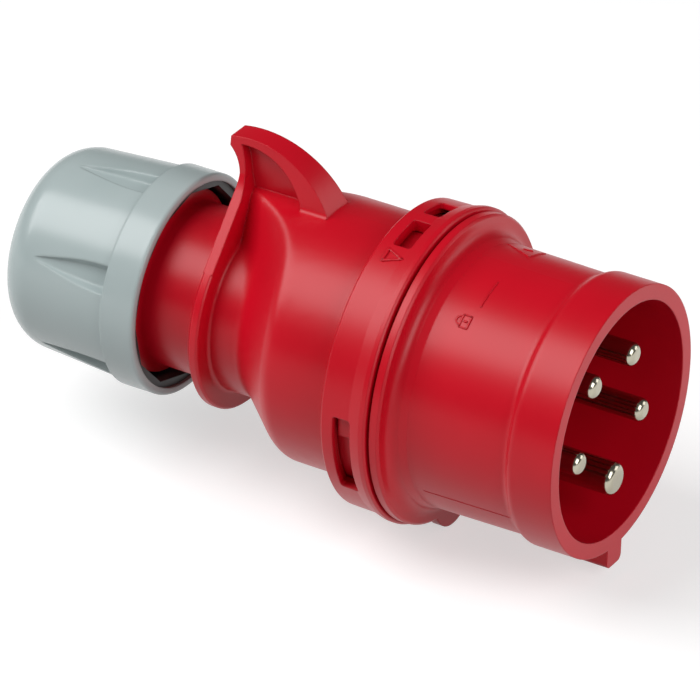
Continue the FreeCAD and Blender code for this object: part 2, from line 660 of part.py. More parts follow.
def shoulder_radius(depth, angle):
    """Radius of the housing at a station and an angle from the top.

    The shoulder is a cone whose foot runs back under the fin as a tongue.
    """
    rounded = math.hypot(angle, number("tongue_crown"))
    tongue = number("tongue_reach") * math.exp(-rounded / number("tongue_spread"))
    slope = number("waist_radius") + number("shoulder_rise") * (number("waist_front") + tongue - depth)
    blend = number("shoulder_blend")
    return smooth_min(number("barrel_radius"), smooth_max(number("waist_radius"), slope, blend), blend)


def make_shoulder_blank():
    """Solid barrel, shoulder and waist, skinned over cross-sections along the axis."""
    start = number("collar_front + collar_thickness / 2")
    end = number("ring_rear - overrun")
    stations = [start + (end - start) * step / SHOULDER_SECTIONS for step in range(SHOULDER_SECTIONS + 1)]
    # The angles lie closest together at the top, where the tongue is.
    shares = [step / SHOULDER_POINTS for step in range(SHOULDER_POINTS + 1)]
    angles = [360.0 * share - SHOULDER_CROWDING * math.sin(2 * math.pi * share) for share in shares]
    sections = []
    for depth in stations:
        points = []
        for angle in angles[:-1]:
            radius = shoulder_radius(depth, min(angle, 360.0 - angle))
            turned = math.radians(90.0 + angle)
            points.append(FreeCAD.Vector(-depth, radius * math.cos(turned), radius * math.sin(turned)))
        curve = Part.BSplineCurve()
        curve.interpolate(Points=points, PeriodicFlag=True, Parameters=angles)
        sections.append(Part.Wire([curve.toShape()]))
    blank = doc.addObject("Part::Feature", "shoulder_blank")
    blank.Shape = Part.makeLoft(sections, True, False)
    return blank


def make_ring_blank():
    """Solid ring with lip in front and collar, neck, bead and thread behind."""
    body = new_body("ring_and_neck_blank")
    core = "(waist_radius - barrel_wall)"
    bead_middle = "(bead_front + bead_length / 2)"
    bead_front_arc = arc_radius("bead_length / 2", "bead_radius - neck_radius", "bead_bulge")
    bead_rear_arc = arc_radius("bead_length / 2", "bead_radius - thread_radius", "bead_bulge")
    revolution(body, "ring_and_neck", [
        ("-ring_front", "0"),
        ("-ring_front", "lip_radius - edge_break"),
        ("-(ring_front + edge_break)", "lip_radius"),
        ("-(ring_front + lip_length)", "lip_radius"),
        ("-(ring_front + lip_length + lip_slope)", "ring_radius"),
        ("-(ring_rear - edge_break)", "ring_rear_radius"),
        ("-ring_rear", "ring_rear_radius - edge_break"),
        ("-ring_rear", core),
        ("-(collar_front - collar_root)", core),
        ("-(collar_front - collar_root)", "waist_radius - overlap", "-collar_root"),
        ("-collar_front", "waist_radius - overlap + collar_root"),
        ("-collar_front", "collar_radius - edge_break"),
        ("-(collar_front + edge_break)", "collar_radius"),
        ("-(collar_rear - edge_break)", "collar_radius"),
        ("-collar_rear", "collar_radius - edge_break"),
        ("-collar_rear", "neck_radius"),
        ("-bead_front", "neck_radius", "-" + bead_front_arc),
        ("-%s" % bead_middle, "bead_radius", bead_rear_arc),
        ("-bead_rear", "thread_radius"),
        ("-(neck_end - thread_edge)", "thread_radius"),
        ("-neck_end", "thread_radius - thread_edge"),
        ("-neck_end", "0"),
    ])
    return body


def slab(name, plane, corners, length):
    """Extrusion to both sides of a plane, for use in a boolean."""
    body = new_body(name)
    sketch = new_sketch(body, name + "_outline", plane)
    outline(sketch, corners)
    pad = body.newObject("PartDesign::Pad", name + "_pad")
    pad.Profile = sketch
    pad.Midplane = True
    bind(pad, Length=length)
    return body


def common(name, first, second):
    """Shape that two blanks share."""
    shared = doc.addObject("Part::Common", name)
    shared.Base = first
    shared.Tool = second
    return shared


def make_collar_flare():
    """Wings of the collar that sweep up to the fin and thin down to the fin's rear edge."""
    body = new_body("flare_front_blank")
    sketch = new_sketch(body, "flare_section", "YZ_Plane", "-collar_front")
    start = polar("collar_radius", "flare_turn")
    end = (
        "(%s - flare_length * sin(flare_turn))" % start[0],
        "(%s + flare_length * cos(flare_turn))" % start[1],
    )
    top = "(%s + flare_round * sin(flare_turn))" % end[1]
    outline(sketch, [
        start,
        end + ("-flare_round",),
        ("fin_middle_half", top),
        ("-fin_middle_half", top, "-flare_round"),
        ("-" + end[0], end[1]),
        ("-(%s)" % start[0], start[1]),
        ("0", "0"),
    ])
    along_axis(body, "flare", "Pad", sketch, "fin_tip - collar_front")
    side = slab("flare_side_blank", "XZ_Plane", [
        ("-collar_front", "0"),
        ("-collar_front", "web_heel"),
        ("-(collar_rear - fin_rear_wall)", "hollow_foot", web_rear_radius()),
        ("-(collar_rear - fin_rear_wall + web_lean)", "web_top"),
        ("-fin_tip", "web_top"),
        ("-fin_tip", "fin_height - fin_tip_edge", "-" + hollow_radius()),
        ("-collar_rear", "hollow_foot"),
        ("-collar_rear", "0"),
    ], "4 * collar_radius")
    return common("collar_flare", body, side)


def hollow_radius():
    """Radius of the hollow behind the fin."""
    return easing_radius("tip_overhang", "fin_hollow_drop")


def web_rear_radius():
    """Radius of the rear side of the fin's web."""
    return easing_radius("web_lean", "web_top - hollow_foot")


def make_fin():
    """Thumb fin: a thin web inside a wide edge band that widens towards the foot."""
    root = "(barrel_radius - barrel_wall / 2)"
    side = slab("fin_side_blank", "XZ_Plane", [
        ("-fin_foot", root),
        ("-fin_foot", "barrel_radius", arc_radius("fin_length", "fin_height - barrel_radius", "fin_bulge")),
        ("-fin_tip", "fin_height"),
        ("-fin_tip", "fin_height - fin_tip_edge", "-" + hollow_radius()),
        ("-collar_rear", "hollow_foot"),
        ("-collar_rear", "waist_radius"),
    ], "4 * fin_foot_half")
    foot_half = "(fin_foot_half + fin_foot_round)"
    foot = "sqrt(barrel_radius ^ 2 - %s ^ 2)" % foot_half
    front = slab("fin_front_blank", "YZ_Plane", [
        ("-fin_top_half", "fin_height + overrun"),
        ("-fin_foot_half", foot + " + fin_foot_round", "-fin_foot_round"),
        ("-" + foot_half, foot),
        ("-" + foot_half, "waist_radius"),
        (foot_half, "waist_radius"),
        (foot_half, foot, "-fin_foot_round"),
        ("fin_foot_half", foot + " + fin_foot_round"),
        ("fin_top_half", "fin_height + overrun"),
    ], "4 * fin_tip")
    web_front = "(fin_foot + web_setback)"
    web_rear_top = "(collar_rear - fin_rear_wall + web_lean)"
    web_arc = arc_radius("%s - %s" % (web_rear_top, web_front), "web_top - %s" % root, "web_bulge")
    cuts = []
    for name, side_sign in (("near", "-"), ("far", "")):
        body = new_body("web_cut_" + name)
        sketch = new_sketch(body, "web_outline", "XZ_Plane", "%s(web_half + fin_foot_half)" % side_sign)
        outline(sketch, [
            ("-%s" % web_front, root, web_arc),
            ("-%s" % web_rear_top, "web_top", "-" + web_rear_radius()),
            ("-(collar_rear - fin_rear_wall)", "hollow_foot"),
            ("-collar_front", "web_heel"),
            ("-collar_front", "waist_radius"),
        ])
        pad = body.newObject("PartDesign::Pad", "web_pad")
        pad.Profile = sketch
        pad.Midplane = True
        bind(pad, Length="2 * fin_foot_half")
        cuts.append(body)
    hollows = doc.addObject("Part::MultiFuse", "web_hollows")
    hollows.Shapes = cuts
    fin = doc.addObject("Part::Cut", "fin")
    fin.Base = common("fin_blank", side, front)
    fin.Tool = hollows
    return fin


def sector_cutters(name, depth, length, inner, outer, places):
    """Pieces of ring between two stations, each given by its middle angle and span."""
    body = new_body(name)
    sketch = new_sketch(body, name + "_section", "YZ_Plane", "-(%s)" % depth)
    for middle, span in places:
        outline(sketch, sector(inner, outer, middle, span))
    along_axis(body, name + "_pad", "Pad", sketch, length)
    return body


def round_radial_edges(body, radius):
    """Rounds the edges of a cutter that point away from the plug's axis."""
    doc.recompute()
    sharp = body.Tip
    names = []
    for index, edge in enumerate(sharp.Shape.Edges, start=1):
        if edge.Curve.TypeId == "Part::GeomLine" and abs(edge.Curve.Direction.x) < 0.5:
            names.append("Edge%d" % index)
    fillet = body.newObject("PartDesign::Fillet", body.Label + "_corners")
    fillet.Base = (sharp, names)
    bind(fillet, Radius=radius)
    return body


def make_rear_housing():
    """Ring with windows and bayonet tracks, barrel, shoulder, collar, fin and hollow neck."""
    outer = doc.addObject("Part::MultiFuse", "rear_outer")
    outer.Shapes = [make_shoulder_blank(), make_ring_blank(), make_collar_flare(), make_fin()]

    cavity = new_body("rear_cavity")
    inner_barrel = "barrel_radius - barrel_wall"
    inner_waist = "waist_radius - barrel_wall"
    inner_neck = "neck_radius - neck_wall"
    bore_end = "(spigot_end + housing_gap)"
    revolution(cavity, "cavity", [
        ("-(ring_front - overrun)", "0"),
        ("-(ring_front - overrun)", "ring_bore"),
        ("-%s" % bore_end, "ring_bore"),
        ("-(%s + ring_bore_slope)" % bore_end, inner_barrel),
        ("-(shoulder_front - cone_margin)", inner_barrel),
        ("-(waist_front + cone_margin)", inner_waist),
        ("-(collar_front - neck_lead)", inner_waist),
        ("-collar_front", inner_neck),
        ("-(grommet_seat - seat_thickness)", inner_neck),
        ("-(grommet_seat - seat_thickness)", "seat_radius"),
        ("-grommet_seat", "seat_radius"),
        ("-grommet_seat", inner_neck),
        ("-(neck_end + overrun)", inner_neck),
        ("-(neck_end + overrun)", "0"),
    ])

    inside = "(ring_bore - overrun)"
    groove = "(lug_reach + housing_gap)"
    windows = [("%s + %s / 2" % (first, span), str(span)) for first, span in WINDOWS]
    tracks = []
    entries = []
    for index in range(int(number("lug_count"))):
        lug = "(lug_turn + %d * 360 / lug_count)" % index
        tracks.append((lug + " + twist_travel / 2", "(lug_span + twist_travel + 2 * track_play)"))
        entries.append((lug + " + twist_travel", "(lug_span + 2 * track_play)"))
    tools = [cavity]
    for index, window in enumerate(windows, start=1):
        opening = sector_cutters(
            "window_%d" % index, "window_front", "window_length", inside, "(lip_radius + overrun)", [window])
        tools.append(round_radial_edges(opening, "window_round"))
    tools += [
        sector_cutters(
            "tracks", "window_front - track_margin", "window_length + 2 * track_margin",
            inside, groove, tracks),
        sector_cutters("entries", "ring_front - overrun", "window_setback + 2 * overrun", inside, groove, entries),
    ]
    cutters = doc.addObject("Part::MultiFuse", "rear_cutters")
    cutters.Shapes = tools
    housing = doc.addObject("Part::Cut", "rear_housing")
    housing.Base = outer
    housing.Tool = cutters
    return housing


def make_gland_nut():
    """Nut with a band at its mouth, a fluted cone and a rounded end with the cable hole."""
    body = new_body("gland_nut")
    revolution(body, "nut", [
        ("-nut_mouth", "nut_bore"),
        ("-nut_mouth", "nut_band_radius - nut_edge", "nut_edge"),
        ("-(nut_mouth + nut_edge)", "nut_band_radius"),
        ("-(nut_band_rear - nut_edge / 2)", "nut_band_radius"),
        ("-nut_band_rear", "nut_front_radius"),
        ("-nut_round_front", "nut_rear_radius", "nut_round"),
        ("-nut_end", "nut_rear_radius - nut_round_reach"),
        ("-nut_end", "nut_hole"),
        ("-nut_inside", "nut_hole"),
        ("-nut_inside", "nut_seat_radius"),
        ("-liner_end", "nut_seat_radius"),
        ("-liner_end", "nut_throat"),
        ("-liner_step", "nut_throat"),
        ("-liner_step", "nut_bore"),
    ])
    depths = ("-nut_band_rear", "-(nut_band_rear + flute_end) / 2", "-flute_end")
    deep_floor = "nut_front_radius - flute_sink"
    floors = (deep_floor, deep_floor, "nut_rear_radius + flute_lift")
    sections = []
    for index, share in enumerate(FLUTE_SHARES):
        sketch = new_sketch(body, "flute_section_%d" % (index + 1), "YZ_Plane", depths[index])
        outline(sketch, [
            ("-flute_floor * %s" % share, floors[index]),
            ("flute_floor * %s" % share, floors[index]),
            ("flute_width * %s" % share, floors[index] + " + flute_sink + overrun / 2"),
            ("-flute_width * %s" % share, floors[index] + " + flute_sink + overrun / 2"),
        ])
        sections.append(sketch)
    flute = body.newObject("PartDesign::SubtractiveLoft", "flute")
    flute.Profile = sections[0]
    flute.Sections = sections[1:]
    ring_pattern(body, "flutes", flute, "flute_count")
    body.Placement = FreeCAD.Placement(
        FreeCAD.Vector(0, 0, 0), FreeCAD.Rotation(FreeCAD.Vector(1, 0, 0), number("flute_turn") - 90))
    return body


def make_nut_liner():
    """Threaded insert of the nut, with facets inside its wide mouth."""
    body = new_body("nut_liner")
    revolution(body, "liner", [
        ("-liner_front", "thread_radius + screw_fit"),
        ("-liner_front", "nut_bore"),
        ("-liner_step", "nut_bore"),
        ("-liner_step", "nut_throat"),
        ("-liner_end", "nut_throat"),
        ("-liner_end", "thread_radius + screw_fit"),
    ])
    facets = new_sketch(body, "facet_polygon", "YZ_Plane", "-liner_front")
    step = "(360 / liner_facets)"
    corner_radius = "((bead_radius + liner_gap) / cos(%s / 2))" % step
    corners = range(int(number("liner_facets")))
    outline(facets, [polar(corner_radius, "%d * %s" % (index, step)) for index in corners])
    along_axis(body, "wide_mouth", "Pocket", facets, "liner_free_end - liner_front")
    return body


def make_slip_ring():
    """Ring between the nut's end and the cage, with a conical mouth."""
    body = new_body("slip_ring")
    revolution(body, "ring", [
        ("-slip_rear", "slip_ring_inner"),
        ("-slip_rear", "slip_ring_outer"),
        ("-slip_front", "slip_ring_outer"),
        ("-slip_front", "slip_ring_inner + slip_ring_mouth"),
        ("-(slip_front + slip_ring_mouth)", "slip_ring_inner"),
    ])
    return body


def make_clamp_cage():
    """Ring with fingers round the cable, seated on the neck's end."""
    body = new_body("clamp_cage")
    revolution(body, "cage", [
        ("-neck_end", "finger_inner"),
        ("-neck_end", "thread_radius - thread_edge"),
        ("-(neck_end + cage_flange)", "thread_radius - thread_edge"),
        ("-(neck_end + cage_flange)", "finger_outer"),
        ("-(cage_end - finger_edge)", "finger_outer"),
        ("-cage_end", "finger_outer - finger_edge"),
        ("-cage_end", "finger_inner"),
    ])
    gap = new_sketch(body, "gap_section", "YZ_Plane", "-(neck_end + cage_flange)")
    outline(gap, [
        ("-finger_gap / 2", "finger_inner - overrun"),
        ("finger_gap / 2", "finger_inner - overrun"),
        ("finger_gap / 2", "finger_outer + overrun"),
        ("-finger_gap / 2", "finger_outer + overrun"),
    ])
    ring_pattern(body, "gaps", along_axis(body, "gap", "Pocket", gap, "finger_length + overrun"), "finger_gaps")
    return body


def make_cable_grommet():
    """Rubber sleeve inside the neck, between its seat and the cage."""
    body = new_body("cable_grommet")
    outer = "(neck_radius - neck_wall - soft_clearance)"
    front = "(grommet_seat + soft_clearance)"
    revolution(body, "sleeve", [
        ("-%s" % front, "grommet_bore + grommet_mouth"),
        ("-%s" % front, outer),
        ("-grommet_rear", outer),
        ("-grommet_rear", "grommet_bore + grommet_mouth"),
        ("-(grommet_rear - grommet_mouth)", "grommet_bore"),
        ("-(%s + grommet_mouth)" % front, "grommet_bore"),
    ])
    return body


def build():
    """All sub-parts, in the order in which the plug is put together."""
    pieces = [make_front_housing(), make_contact_carrier()]
    for name, angle in CONTACTS:
        pieces.append(make_contact(name, angle))
        pieces.append(make_terminal_screw(name, angle))
    for index, angle in enumerate(FIXING_ANGLES, start=1):
        pieces.append(make_carrier_screw(index, angle))
    pieces.append(make_housing_seal())
    pieces.append(make_rear_housing())
    pieces.append(make_gland_nut())
    pieces.append(make_nut_liner())
    pieces.append(make_slip_ring())
    pieces.append(make_clamp_cage())
    pieces.append(make_cable_grommet())
    doc.recompute()
    return pieces


def check(pieces):
    """Stops the script if an object failed or a sub-part isn't one sound solid."""
    faults = []
    for item in doc.Objects:
        if {"Invalid", "Error"} & set(item.State):
            faults.append("%s: %s" % (item.Label, item.State))
    for piece in pieces:
        shape = piece.Shape
        if shape.isNull() or not shape.isValid() or len(shape.Solids) != 1:
            faults.append("%s isn't one sound solid" % piece.Label)
    if faults:
        raise RuntimeError("; ".join(faults))


parts = build()
check(parts)
os.makedirs("parts", exist_ok=True)
for part in parts:
    part.Shape.exportStep("parts/%s.step" % part.Label)
    print("%-24s %9.1f mm3" % (part.Label, part.Shape.Volume))
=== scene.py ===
import math

import bmesh
import bpy
from mathutils import Matrix, Vector


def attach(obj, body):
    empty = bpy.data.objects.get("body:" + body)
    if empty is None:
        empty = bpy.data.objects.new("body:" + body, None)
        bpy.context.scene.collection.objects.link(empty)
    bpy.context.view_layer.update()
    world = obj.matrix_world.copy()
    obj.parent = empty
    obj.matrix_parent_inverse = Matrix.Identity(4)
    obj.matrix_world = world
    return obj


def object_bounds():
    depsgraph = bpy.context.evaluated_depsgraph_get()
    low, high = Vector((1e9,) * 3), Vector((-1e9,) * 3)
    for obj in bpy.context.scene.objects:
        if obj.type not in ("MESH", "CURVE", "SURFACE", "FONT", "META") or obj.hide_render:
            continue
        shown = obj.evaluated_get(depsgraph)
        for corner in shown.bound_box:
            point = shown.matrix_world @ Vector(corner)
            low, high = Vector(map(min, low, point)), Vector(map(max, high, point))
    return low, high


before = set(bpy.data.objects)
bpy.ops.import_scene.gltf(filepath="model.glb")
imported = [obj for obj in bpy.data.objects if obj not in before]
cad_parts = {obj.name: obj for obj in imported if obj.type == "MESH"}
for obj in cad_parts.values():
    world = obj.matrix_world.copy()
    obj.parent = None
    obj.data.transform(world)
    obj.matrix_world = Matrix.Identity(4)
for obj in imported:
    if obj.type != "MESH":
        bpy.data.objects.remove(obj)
cad_low, cad_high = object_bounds()

MM = 0.001

# The part of a noise's range that holds nearly all of it.
NOISE_LOW, NOISE_HIGH = 0.3, 0.7
# Width of the flow marks that the melt leaves in a moulding.
FLOW_MM = 18
# How far a moulding's roughness strays to each side.
GLOSS_SPREAD = 0.015
# How much smoother and rougher than its mean a turned surface gets.
LINES_SMOOTHER, LINES_ROUGHER = 0.04, 0.05
# Turning lines run round the X axis, so their pattern changes fast along it and slowly across.
LINES_STRETCH = (1.0, 0.05, 0.05)
# Height of a moulding's grain and of turning lines.
GRAIN_HEIGHT_MM = 0.004
# Typical refractive index of polyamide and of rubber.
PLASTIC_IOR = 1.5

# A raised mark's top edges that bend by more than this many radians are rounded by this width.
SHARP_BEND = 1
MARK_EDGE_MM = 0.06
# Slope of the shroud's side in degrees: it narrows towards the mouth.
SHROUD_SLOPE = 0.8

# Half the width of the square studio floor, in metres.
FLOOR_HALF = 6.0
# How much brighter than its lit colour the floor looks to the camera and in reflections.
FLOOR_LIFT = 0.56
# What the softboxes face.
PLUG_MIDDLE = Vector((-0.06, 0, 0))

# The photograph's camera: its direction and roll in degrees, how far to the right, down and
# ahead of it the frame's origin stands, and its focal length in the photograph's pixels.
AZIMUTH, ELEVATION, ROLL = -60.31, 29.53, -2.11
ORIGIN_SEEN_MM = (54.41, 14.42, 1595.16)
FOCAL_PIXELS = 7962
PHOTO_PIXELS = 700
SENSOR_MM = 36.0


def colour(code):
    """Linear colour of an sRGB hex value."""
    channels = []
    for start in (1, 3, 5):
        share = int(code[start:start + 2], 16) / 255
        channels.append(share / 12.92 if share <= 0.04045 else ((share + 0.055) / 1.055) ** 2.4)
    return (*channels, 1.0)


def node(tree, kind, values=None, links=None, **settings):
    """Adds a shader node with its settings, socket values and incoming links."""
    made = tree.nodes.new(kind)
    for name, setting in settings.items():
        setattr(made, name, setting)
    for name, value in (values or {}).items():
        made.inputs[name].default_value = value
    for name, source in (links or {}).items():
        tree.links.new(source, made.inputs[name])
    return made


def new_material(name):
    """An empty node material and its tree of nodes."""
    material = bpy.data.materials.new(name)
    material.use_nodes = True
    material.node_tree.nodes.clear()
    return material, material.node_tree


def moulded_plastic(name, body, deep, roughness, sheen, grain_mm, edge_mm):
    """Injection moulding: even colour with faint flow marks, a satin skin of fine grain, and soft edges."""
    material, tree = new_material(name)
    place = node(tree, "ShaderNodeTexCoord").outputs["Object"]
    flow = node(tree, "ShaderNodeTexNoise", {"Scale": 1 / (FLOW_MM * MM), "Detail": 2.0}, {"Vector": place})
    # The real grain is a few hundredths of a millimetre wide. It is drawn several times as coarse,
    # because it would be too fine to show in the render.
    skin = node(tree, "ShaderNodeTexNoise", {"Scale": 1 / (grain_mm * MM), "Detail": 1.0}, {"Vector": place})
    tint = node(tree, "ShaderNodeValToRGB", links={"Fac": flow.outputs["Fac"]})
    for stop, position, tone in zip(tint.color_ramp.elements, (NOISE_LOW, NOISE_HIGH), (deep, body)):
        stop.position = position
        stop.color = colour(tone)
    gloss = node(tree, "ShaderNodeMapRange", {
        "From Min": NOISE_LOW, "From Max": NOISE_HIGH,
        "To Min": roughness - GLOSS_SPREAD, "To Max": roughness + GLOSS_SPREAD,
    }, {"Value": skin.outputs["Fac"]})
    edge = node(tree, "ShaderNodeBevel", {"Radius": edge_mm * MM}, samples=6)
    bump = node(tree, "ShaderNodeBump", {"Strength": 0.12, "Distance": GRAIN_HEIGHT_MM * MM}, {
        "Height": skin.outputs["Fac"], "Normal": edge.outputs["Normal"],
    })
    shader = node(tree, "ShaderNodeBsdfPrincipled", {"IOR": PLASTIC_IOR, "Specular IOR Level": sheen}, {
        "Base Color": tint.outputs["Color"],
        "Roughness": gloss.outputs["Result"],
        "Normal": bump.outputs["Normal"],
    })
    node(tree, "ShaderNodeOutputMaterial", links={"Surface": shader.outputs["BSDF"]})
    return material


def plated_metal(name, tone, roughness, lines_mm):
    """Turned metal under a thin plating: mirror-like with faint turning lines round its axis."""
    material, tree = new_material(name)
    place = node(tree, "ShaderNodeTexCoord").outputs["Object"]
    stretch = node(tree, "ShaderNodeMapping", {"Scale": LINES_STRETCH}, {"Vector": place})
    # Real turning lines are a few hundredths of a millimetre apart. They too are drawn coarser, to show.
    lines = node(tree, "ShaderNodeTexNoise", {"Scale": 1 / (lines_mm * MM), "Detail": 2.0}, {
        "Vector": stretch.outputs["Vector"],
    })
    gloss = node(tree, "ShaderNodeMapRange", {
        "From Min": NOISE_LOW, "From Max": NOISE_HIGH,
        "To Min": roughness - LINES_SMOOTHER, "To Max": roughness + LINES_ROUGHER,
    }, {"Value": lines.outputs["Fac"]})
    bump = node(tree, "ShaderNodeBump", {"Strength": 0.1, "Distance": GRAIN_HEIGHT_MM * MM}, {
        "Height": lines.outputs["Fac"],
    })
    shader = node(tree, "ShaderNodeBsdfPrincipled", {"Base Color": colour(tone), "Metallic": 1.0}, {
        "Roughness": gloss.outputs["Result"],
        "Normal": bump.outputs["Normal"],
    })
    node(tree, "ShaderNodeOutputMaterial", links={"Surface": shader.outputs["BSDF"]})
    return material


# Polyamide of the housings: deep signal red, satin from a polished mould.
red_polyamide = moulded_plastic(
    "red_moulded_polyamide", body="#c6041e", deep="#bf031b", roughness=0.34, sheen=0.34, grain_mm=0.5, edge_mm=0.4)
# The same plastic in the gland nut's cool light grey: glossier, with wider rounded edges.
grey_polyamide = moulded_plastic(
    "grey_moulded_polyamide", body="#a6b2b2", deep="#a1aeae", roughness=0.25, sheen=0.5, grain_mm=0.5, edge_mm=0.8)
# Glass-filled black polyamide of the liner and the carrier: duller, because the glass roughens its skin.
black_polyamide = moulded_plastic(
    "black_moulded_polyamide", body="#232626", deep="#1e2121", roughness=0.45, sheen=0.5, grain_mm=0.4, edge_mm=0.2)
# Soft rubber of the seal and the sleeve: matt and nearly black.
black_rubber = moulded_plastic(
    "black_moulded_rubber", body="#1a1a1a", deep="#161616", roughness=0.75, sheen=0.5, grain_mm=0.3, edge_mm=0.3)
# Nickel on turned brass, for the five pins: warm silver, bright.
nickel = plated_metal("nickel_plated_brass", "#b9b4a2", roughness=0.18, lines_mm=0.3)
# Zinc on steel, for the screws: cooler and greyer.
zinc = plated_metal("zinc_plated_steel", "#b9bec4", roughness=0.3, lines_mm=0.2)

FINISHES = {
    red_polyamide: ("front_housing", "rear_housing"),
    grey_polyamide: ("gland_nut", "slip_ring", "clamp_cage"),
    black_polyamide: ("nut_liner", "contact_carrier"),
    black_rubber: ("housing_seal", "cable_grommet"),
    nickel: ("pin_earth", "pin_l1", "pin_l2", "pin_l3", "pin_neutral"),
    zinc: (
        "terminal_screw_earth", "terminal_screw_l1", "terminal_screw_l2", "terminal_screw_l3",
        "terminal_screw_neutral", "carrier_screw_1", "carrier_screw_2", "carrier_screw_3",
    ),
}
for finish, names in FINISHES.items():
    for name in names:
        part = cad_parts[name]
        part.data.materials.clear()
        part.data.materials.append(finish)


def place_mesh(name, mesh, material):
    """An object at the origin with a mesh and its one material."""
    mesh.normal_update()
    data = bpy.data.meshes.new(name)
    mesh.to_mesh(data)
    mesh.free()
    data.materials.append(material)
    made = bpy.data.objects.new(name, data)
    bpy.context.scene.collection.objects.link(made)
    return made


def new_piece(name, mesh, material, body):
    """A finished piece at the origin that rides on a body."""
    piece = place_mesh(name, mesh, material)
    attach(piece, body)
    return piece


def bar(mesh, start, end, width, height):
    """Straight rib on the flat from start to end, each given as a place along and across, in millimetres."""
    start = Vector((*start, 0)) * MM
    end = Vector((*end, 0)) * MM
    run = end - start
    made = bmesh.ops.create_cube(mesh, size=1.0)["verts"]
    bmesh.ops.scale(mesh, verts=made, vec=(run.length + width * MM, width * MM, height * MM))
    bmesh.ops.rotate(mesh, verts=made, matrix=Matrix.Rotation(math.atan2(run.y, run.x), 3, "Z"))
    bmesh.ops.translate(mesh, verts=made, vec=(start + end) / 2)


def flat_face(mesh, corners, rounding):
    """Flat face with rounded corners."""
    verts = [mesh.verts.new((along * MM, across * MM, 0)) for along, across in corners]
    mesh.faces.new(verts)
    bmesh.ops.bevel(
        mesh, geom=verts, offset=rounding * MM, segments=4, affect="VERTICES", profile=0.5, material=-1)
    return mesh.faces[:][-1]


def line_frame(mesh, face, width):
    """Keeps only a line of the given width inside the edge of a flat face."""
    rim = bmesh.ops.inset_region(
        mesh, faces=[face], thickness=width * MM, use_even_offset=True, use_boundary=True)
    bmesh.ops.delete(mesh, geom=[face], context="FACES_ONLY")
    return rim["faces"]


def thicken(mesh, faces, height):
    """Closed block from flat faces, half of it above them and half below."""
    flat = list({vert for face in faces for vert in face.verts})
    bmesh.ops.translate(mesh, verts=flat, vec=(0, 0, -height / 2 * MM))
    made = bmesh.ops.extrude_face_region(mesh, geom=faces, use_keep_orig=True)["geom"]
    raised = [item for item in made if isinstance(item, bmesh.types.BMVert)]
    bmesh.ops.translate(mesh, verts=raised, vec=(0, 0, height * MM))


def moulded_mark(name, mesh, along, angle, radius, body):
    """Bends a flat relief round the plug at an angle counted from +Y towards +Z, as a piece of the red moulding."""
    bmesh.ops.recalc_face_normals(mesh, faces=mesh.faces)
    rims = [
        edge for edge in mesh.edges
        if edge.calc_face_angle(0) > SHARP_BEND and all(vert.co.z > 0 for vert in edge.verts)
    ]
    bmesh.ops.bevel(
        mesh, geom=rims, offset=MARK_EDGE_MM * MM, segments=2, affect="EDGES", profile=0.5, material=-1,
        clamp_overlap=True)
    # Cuts at each millimetre across let the flat faces follow the bend.
    reach = math.ceil(max(abs(vert.co.y) for vert in mesh.verts) / MM)
    for step in range(-reach, reach + 1):
        whole = mesh.verts[:] + mesh.edges[:] + mesh.faces[:]
        bmesh.ops.bisect_plane(mesh, geom=whole, plane_co=(0, step * MM, 0), plane_no=(0, 1, 0))
    for vert in mesh.verts:
        turn = math.radians(angle) + vert.co.y / (radius * MM)
        out = radius * MM + vert.co.z
        vert.co = (along * MM + vert.co.x, out * math.cos(turn), out * math.sin(turn))
    new_piece(name, mesh, red_polyamide, body)


def ring_triangle():
    """Raised outline of a triangle on the turning ring, pointing at the shroud."""
    mesh = bmesh.new()
    face = flat_face(mesh, ((-2.1, 2.0), (-2.1, -2.0), (2.6, 0)), rounding=0.5)
    thicken(mesh, line_frame(mesh, face, width=0.55), height=0.6)
    moulded_mark("ring_triangle", mesh, along=-46.2, angle=114.65, radius=32.69, body="rear")


def shroud_chevron():
    """Raised chevron with a short tick on top of the shroud."""
    mesh = bmesh.new()
    for start, end in (
        ((-6.8, -3.9), (0, 0)),
        ((0, 0), (0.4, -6.4)),
        ((-3.3, -4.2), (-1.7, -4.9)),
    ):
        bar(mesh, start, end, width=0.32, height=0.4)
    moulded_mark("shroud_chevron", mesh, along=-25.9, angle=78.6, radius=27.8, body="front")


def shroud_line():
    """Raised index line round a short arc of the shroud."""
    mesh = bmesh.new()
    bar(mesh, (0, -3.55), (0, 3.55), width=0.26, height=0.4)
    moulded_mark("shroud_line", mesh, along=-26.0, angle=111.2, radius=27.76, body="front")


def shroud_padlock():
    """Small raised closed padlock, its shackle towards the turning ring."""
    mesh = bmesh.new()
    case = flat_face(mesh, ((0, 1.6), (0, -1.6), (2.2, -1.6), (2.2, 1.6)), rounding=0.3)
    thicken(mesh, line_frame(mesh, case, width=0.35), height=0.45)
    # The shackle is half a turn of a line from its inner to its outer radius.
    ends = [mesh.verts.new((0, radius * MM, 0)) for radius in (0.75, 1.1)]
    foot = mesh.edges.new(ends)
    before = set(mesh.faces)
    bmesh.ops.spin(
        mesh, geom=[*ends, foot], cent=(0, 0, 0), axis=(0, 0, 1), dvec=(0, 0, 0), angle=math.pi, steps=12)
    thicken(mesh, [face for face in mesh.faces if face not in before], height=0.45)
    bar(mesh, (0.95, 0), (1.35, 0), width=0.4, height=0.45)
    moulded_mark("shroud_padlock", mesh, along=-28.6, angle=127.0, radius=27.82, body="front")


def parting_line():
    """Fine ridge that the halves of the mould leave along the shroud, sloped as the shroud's side is."""
    mesh = bmesh.new()
    bar(mesh, (-10.5, 0), (10.5, 0), width=0.14, height=0.4)
    bmesh.ops.rotate(mesh, verts=mesh.verts, matrix=Matrix.Rotation(math.radians(SHROUD_SLOPE), 3, "Y"))
    moulded_mark("parting_line", mesh, along=-21.0, angle=-148.0, radius=27.61, body="front")


